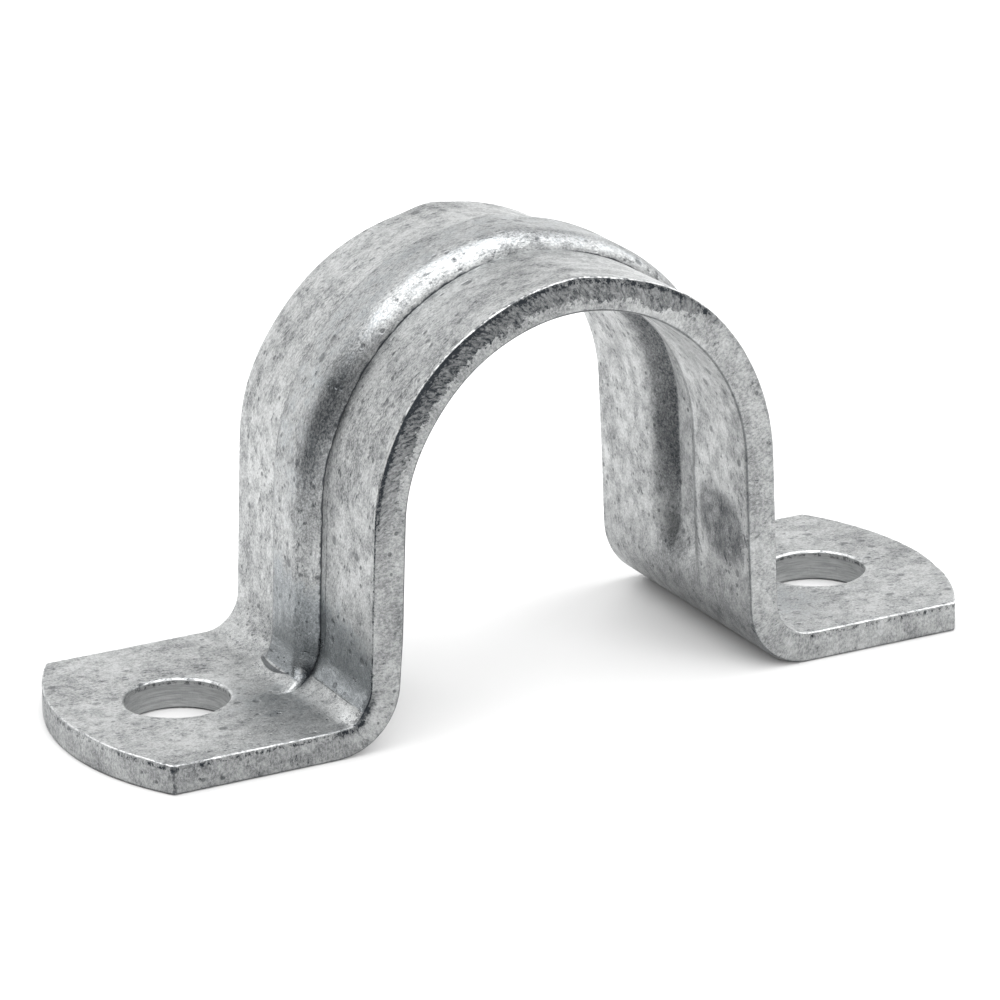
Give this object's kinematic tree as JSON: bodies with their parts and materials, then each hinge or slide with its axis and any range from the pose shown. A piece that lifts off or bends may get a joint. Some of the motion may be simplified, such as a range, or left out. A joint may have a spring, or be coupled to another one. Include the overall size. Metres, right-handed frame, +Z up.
{
  "type": "omega clamp",
  "caption": "Bent steel strap that holds a pipe down on a flat surface, with a round-topped seat, drilled flat feet and a stiffening rib along its middle.",
  "frame": {"origin": "midway between the feet, on the plane that the feet stand on, which is also the centre of the part's outline seen from above", "axes": "+X along the strap from foot to foot, +Y along the clamped pipe, +Z up from the mounting surface through the crown"},
  "size_m": [0.0872, 0.027, 0.0414],
  "materials": {
    "zinc_steel": "zinc-coated steel, satin and lightly mottled, with small pits and scratches and a rougher sheared edge"
  },
  "bodies": {
    "root": {"strap": "zinc_steel"}
  },
  "joints": []
}
